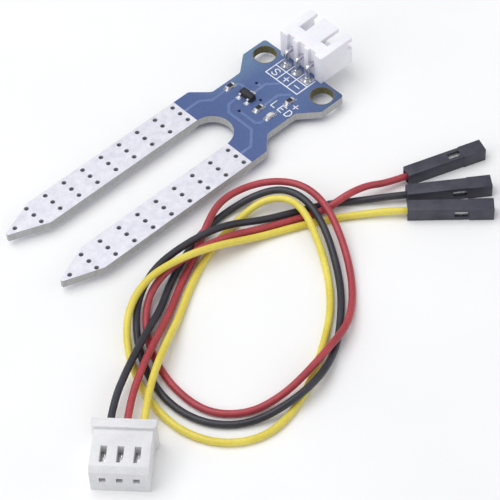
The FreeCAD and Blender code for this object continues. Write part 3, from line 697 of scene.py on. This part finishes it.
def make_solder():
    """A cone of solder climbs each pin, each one a little uneven, and lower on the underside."""
    rings = [(0.91, -0.01), (0.9, 0.06), (0.82, 0.16), (0.7, 0.27),
             (0.59, 0.4), (0.51, 0.56), (0.46, 0.72), (0.4, 0.76)]
    lump_size, lump_height = 1.4 * MM, 0.09 * MM
    lumps = bpy.data.textures.new("solder_lumps", "CLOUDS")
    lumps.noise_scale = lump_size
    for layer, level, reach in (("top", top_z, 1.0), ("bottom", board_under, -0.62)):
        cones = []
        for y in pins.values():
            cone = raised_disc("cone", (pin_x, y, level), [(r, h * reach) for r, h in rings])
            worked(cone, "SUBSURF", levels=1, render_levels=1)
            worked(cone, "DISPLACE", texture=lumps, texture_coords="LOCAL", strength=lump_height,
                   mid_level=0.5)
            cones.append(cone)
        piece = joined("solder_cones_" + layer, cones)
        tidy_mesh(piece)
        bpy.ops.object.shade_smooth()
        stand_for(piece, "sensor", "solder", "solder", "header_solder_" + layer)


# ---------------------------------------------------------------------------
# Small parts
# ---------------------------------------------------------------------------
chip_names = ("resistor_signal", "resistor_base", "resistor_led")


def middle_of(node):
    """The middle of a CAD node's box, in millimetres."""
    low, high = corners_of(node)
    return (low + high) / 2.0


def end_caps(name, low, high, width):
    """Two wrapped metal ends of a chip part."""
    caps = [block("cap", (low.x, low.y, low.z), (low.x + width, high.y, high.z)),
            block("cap", (high.x - width, low.y, low.z), (high.x, high.y, high.z))]
    piece = joined(name, caps)
    return softened(piece, 0.07, 3)


def make_chips():
    """Three equal chip resistors: a ceramic body with a raised glaze, and two end caps."""
    glaze_inset, glaze_height, glaze_edge = 0.06, 0.03, 0.02
    low, high = corners_of(chip_names[0] + "_body")
    middle = middle_of(chip_names[0] + "_body")
    chip = block("chip", low, high)
    choose(chip, faces_up)
    bpy.ops.mesh.inset(thickness=glaze_inset * MM)
    push(z=glaze_height)
    done()
    softened(chip, 0.03, 2, 30.0)
    dress(chip, "ceramic")
    chip.data.materials.append(finish["glaze"])
    for face in chip.data.polygons:
        face.material_index = 1 if face.center.z / MM > high.z - glaze_edge else 0
    ends_low, ends_high = corners_of(chip_names[0] + "_terminals")
    caps = end_caps("caps", ends_low, ends_high, low.x - ends_low.x)
    for name in chip_names:
        move = middle_of(name + "_body") - middle
        body = twin(chip, name + "_chip", move)
        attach(body, "sensor")
        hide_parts(name + "_body")
        stand_for(twin(caps, name + "_caps", move), "sensor", "leg", "solder", name + "_terminals")
    drop(chip, caps)


def make_led():
    """A pale base, a clear lens with a rounded top, and two end caps."""
    lens_round = 0.2
    base_low, base_high = corners_of("led_base")
    shell = block("led_shell", base_low, base_high)
    softened(shell, 0.03, 2)
    stand_for(shell, "sensor", "led_shell", "led_base_plastic", "led_base")
    lens = block("led_dome", *corners_of("led_lens"))
    choose(lens, faces_up)
    trim(lens_round, 5, profile=0.5)
    done()
    work_on(lens)
    bpy.ops.object.shade_smooth_by_angle(angle=math.radians(50.0))
    stand_for(lens, "sensor", "resin", "clear_resin", "led_lens")
    low, high = corners_of("led_terminals")
    ends = end_caps("led_ends", low, high, base_low.x - low.x)
    stand_for(ends, "sensor", "leg", "solder", "led_terminals")


def make_chip_solder():
    """Hollow fillets run from each end cap down to its pad."""
    half_width, height, reach, hollow = 0.4, 0.3, 0.36, 0.27
    into_cap, into_pad = 0.02, 0.01
    fillets = []
    for name in (*chip_names, "led"):
        low, high = corners_of(name + "_terminals")
        middle = middle_of(name + "_terminals")
        for side, wall in ((-1, low.x), (1, high.x)):
            near, far = sorted((wall - side * into_cap, wall + side * reach))
            fillet = block("fillet", (near, middle.y - half_width, top_z - into_pad),
                           (far, middle.y + half_width, top_z + height))
            choose(fillet, lambda centre, run: abs(run.y) > 0.5 and centre.z > top_z + height / 2.0
                   and side * (centre.x - wall) > reach / 2.0, "EDGE")
            trim(hollow, 6, profile=0.2)
            done()
            fillets.append(fillet)
    piece = joined("solder_fillets", fillets)
    softened(piece, 0.03, 2, 40.0)
    stand_for(piece, "sensor", "solder", "solder", "chip_solder")


def make_transistor():
    """A black case that narrows to its top, on three legs."""
    top_share_x, top_share_y = 0.84, 0.93
    low, high = corners_of("transistor_body")
    middle = middle_of("transistor_body")
    body = block("transistor_case", low, high)
    choose(body, faces_up)
    scale_chosen((middle.x, middle.y, high.z), top_share_x, top_share_y)
    done()
    softened(body, 0.06, 3, 30.0)
    stand_for(body, "sensor", "epoxy", "black_epoxy", "transistor_body")
    legs = tidy_mesh(twin(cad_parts["transistor_leads"], "transistor_legs"))
    softened(legs, 0.035, 2, 40.0)
    stand_for(legs, "sensor", "leg", "solder", "transistor_leads")


# ---------------------------------------------------------------------------
# Lead: wires, plug and sockets
# ---------------------------------------------------------------------------
# In millimetres: the middle of a wire in the plug and the middle of a single
# socket, above the surface, half a contact's width, and how far in it starts.
wire_level = 2.6
socket_middle = 1.27
contact_half = 0.75
contact_inset = 1.2
plug_place = Vector((-45.28, -35.98, 0.0)) * MM
plug_turn = math.radians(-47.3)
socket_places = {
    "black": (Vector((18.96, -31.83, 0.0)) * MM, math.radians(-36.62)),
    "red": (Vector((21.83, -29.02, 0.0)) * MM, math.radians(-19.82)),
    "yellow": (Vector((16.63, -34.32, 0.0)) * MM, math.radians(-43.61)),
}
wire_columns = {"black": -pin_pitch, "red": 0.0, "yellow": pin_pitch}


def lay_wire(name):
    """A wire as one smooth spline along its route."""
    line = bpy.data.curves.new("lead_wire_" + name, "CURVE")
    line.dimensions = "3D"
    line.bevel_depth = wire_diameter / 2.0
    line.bevel_resolution = 5
    line.use_fill_caps = True
    route = line.splines.new("NURBS")
    points = wire_routes[name]
    route.points.add(len(points) - 1)
    for point, place in zip(route.points, points):
        point.co = (*place, 1.0)
    route.order_u = 3
    route.use_endpoint_u = True
    route.resolution_u = 6
    wire = bpy.data.objects.new("lead_wire_" + name, line)
    bpy.context.scene.collection.objects.link(wire)
    stand_for(wire, "lead", name, name + "_insulation", "wire_" + name)
    return wire


def make_contact(name, length, level):
    """A folded contact along +X: a square tube with a small raised tab on its roof."""
    half, metal = contact_half, 0.2
    tab_start, tab_length, tab_half = length * 0.42, 1.5, 0.22
    floor, roof = level - half, level + half
    tab_foot, tab_top = roof - 0.05, roof + 0.1
    box_piece = block(name, (0.0, -half, floor), (length, half, roof))
    cut(box_piece, block("bore", (metal, -half + metal, floor + metal),
                         (length + clear, half - metal, roof - metal)))
    tab = block("tab", (tab_start, -tab_half, tab_foot),
                (tab_start + tab_length, tab_half, tab_top))
    choose(tab, faces_up)
    scale_chosen((tab_start, 0.0, tab_top), 0.7, 0.8)
    done()
    piece = joined(name, [box_piece, tab])
    return softened(piece, 0.04, 2)


def make_plug():
    """Three-way housing with a flange round its rear, and a contact in each channel."""
    half, length, height = 4.45, 9.0, 5.2
    flange_half, flange_length, flange_height = 4.9, 1.6, 5.8
    near = 0.1
    channel_half, channel_end = 0.85, 8.2
    mouth_half = 0.5
    window_start, window_end = 4.6, 7.5
    shell_chamfer, flange_chamfer = 0.8, 0.44
    contact_length = 6.6
    shell = block("plug_shell", (-half, -length, 0.0), (half, 0.0, height))
    choose(shell, lambda centre, run: centre.y < near - length and centre.z > height - near
           and abs(run.x) > 1, "EDGE")
    trim(shell_chamfer, 1)
    done()
    flange = block("flange", (-flange_half, -flange_length, 0.0), (flange_half, 0.0, flange_height))
    choose(flange, lambda centre, run: centre.y < near - flange_length and abs(run.z) > 1, "EDGE")
    trim(flange_chamfer, 1)
    done()
    worked(shell, "BOOLEAN", operation="UNION", solver="EXACT", object=flange)
    drop(flange)
    for x in wire_columns.values():
        channel = block("channel", (x - channel_half, -channel_end, wire_level - channel_half),
                        (x + channel_half, clear, wire_level + channel_half))
        mouth = block("mouth", (x - mouth_half, -length - clear, wire_level - mouth_half),
                      (x + mouth_half, near - channel_end, wire_level + mouth_half))
        window = block("window", (x - mouth_half, -window_end, wire_level),
                       (x + mouth_half, -window_start, flange_height + clear))
        cut(shell, channel, mouth, window)
    tidy_mesh(shell)
    softened(shell, 0.12, 3)
    set_down(shell, plug_place, plug_turn)
    stand_for(shell, "lead", "plug", "white_nylon", "plug_housing")
    strip = make_contact("strip", contact_length, wire_level)
    strip.rotation_euler = (0.0, 0.0, -math.pi / 2.0)
    settle(strip)
    pieces = {"plug": shell}
    for name, x in wire_columns.items():
        piece = twin(strip, "plug_strip_" + name, (x, -contact_inset, 0.0))
        set_down(piece, plug_place, plug_turn)
        pieces[name] = stand_for(piece, "lead", "contact", "contact_metal", "plug_contact_" + name)
    drop(strip)
    return pieces


def make_socket(name, window_up):
    """Single socket along +X: slim body, thicker front collar, a window for the contact's tab."""
    length, half, height = 14.0, 1.15, 2.54
    collar_start, collar_step = 10.0, 0.12
    channel_half, channel_end = 0.85, 13.0
    mouth_half, mouth_start = 0.5, 12.0
    window_start, window_end, window_half, window_top = 7.6, 9.8, 0.55, 3.6
    contact_length = 11.4
    shell = block("socket_shell_" + name, (0.0, -half, 0.0), (length, half, height))
    open_whole(shell)
    bpy.ops.mesh.bisect(plane_co=(collar_start * MM, 0.0, 0.0), plane_no=(1.0, 0.0, 0.0))
    done()
    for side in (1, -1):
        choose(shell, lambda centre, normal: side * normal.y > 0.9 and centre.x > collar_start)
        push(y=side * collar_step)
        done()
    window = block("window", (window_start, -window_half, socket_middle),
                   (window_end, window_half, window_top))
    if not window_up:
        window = cut_sideways(window)
    channel = block("channel", (-clear, -channel_half, socket_middle - channel_half),
                    (channel_end, channel_half, socket_middle + channel_half))
    mouth = block("mouth", (mouth_start, -mouth_half, socket_middle - mouth_half),
                  (length + clear, mouth_half, socket_middle + mouth_half))
    cut(shell, channel, mouth, window)
    tidy_mesh(shell)
    softened(shell, 0.1, 3)
    place, turn = socket_places[name]
    set_down(shell, place, turn)
    stand_for(shell, "lead", "socket", "black_socket_plastic", "socket_housing_" + name)
    strip = make_contact("socket_strip_" + name, contact_length, 0.0)
    if not window_up:
        strip.rotation_euler = (math.pi / 2.0, 0.0, 0.0)
        settle(strip)
    strip.location = (contact_inset * MM, 0.0, socket_middle * MM)
    settle(strip)
    set_down(strip, place, turn)
    stand_for(strip, "lead", "contact", "contact_metal", "socket_contact_" + name)
    return [shell, strip]


def cut_sideways(window):
    """Turn a window cutter about the contact's axis, so that it opens towards -Y."""
    window.location = (0.0, 0.0, -socket_middle * MM)
    settle(window)
    window.rotation_euler = (math.pi / 2.0, 0.0, 0.0)
    settle(window)
    window.location = (0.0, 0.0, socket_middle * MM)
    return settle(window)


def make_lead():
    """Lay the wires, make the plug and its contacts, and a socket for each wire."""
    wires = {name: lay_wire(name) for name in wire_columns}
    plug_pieces = make_plug()
    for name, wire in wires.items():
        pieces = make_socket(name, name == "red") + [plug_pieces[name]]
        if name == "red":
            pieces.append(plug_pieces["plug"])


# ---------------------------------------------------------------------------
# Studio
# ---------------------------------------------------------------------------
def make_studio():
    """A pale floor, an even pale sky, and three soft lamps that all point at the object."""
    floor_size = 4.0
    sky_colour, sky_strength = (0.97, 0.98, 1.0, 1.0), 0.5
    lamps = (  # name, place and width in metres, power in watts
        ("over", (-0.15, 0.25, 0.75), 0.7, 3.6),
        ("left", (-0.7, 0.1, 0.4), 0.5, 1.1),
        ("right", (0.45, -0.55, 0.5), 0.6, 0.9),
    )
    bpy.ops.object.select_all(action="DESELECT")
    bpy.ops.mesh.primitive_plane_add(size=floor_size, location=(0.0, 0.0, 0.0))
    floor = bpy.context.object
    floor.name = "studio_floor"
    floor.data.materials.append(floor_finish())
    world = bpy.data.worlds.new("studio_light")
    world.use_nodes = True
    sky = world.node_tree.nodes["Background"]
    sky.inputs["Color"].default_value = sky_colour
    sky.inputs["Strength"].default_value = sky_strength
    bpy.context.scene.world = world
    for name, place, width, power in lamps:
        bpy.ops.object.light_add(type="AREA", location=place)
        lamp = bpy.context.object
        lamp.name = "lamp_" + name
        lamp.data.size = width
        lamp.data.energy = power
        lamp.rotation_euler = (-Vector(place)).to_track_quat("-Z", "Y").to_euler()
    bpy.context.scene.view_settings.view_transform = "Standard"


set_camera()
make_lead()
dress_board()
make_traces()
make_header()
make_pins()
make_solder()
make_chips()
make_led()
make_chip_solder()
make_transistor()
make_studio()
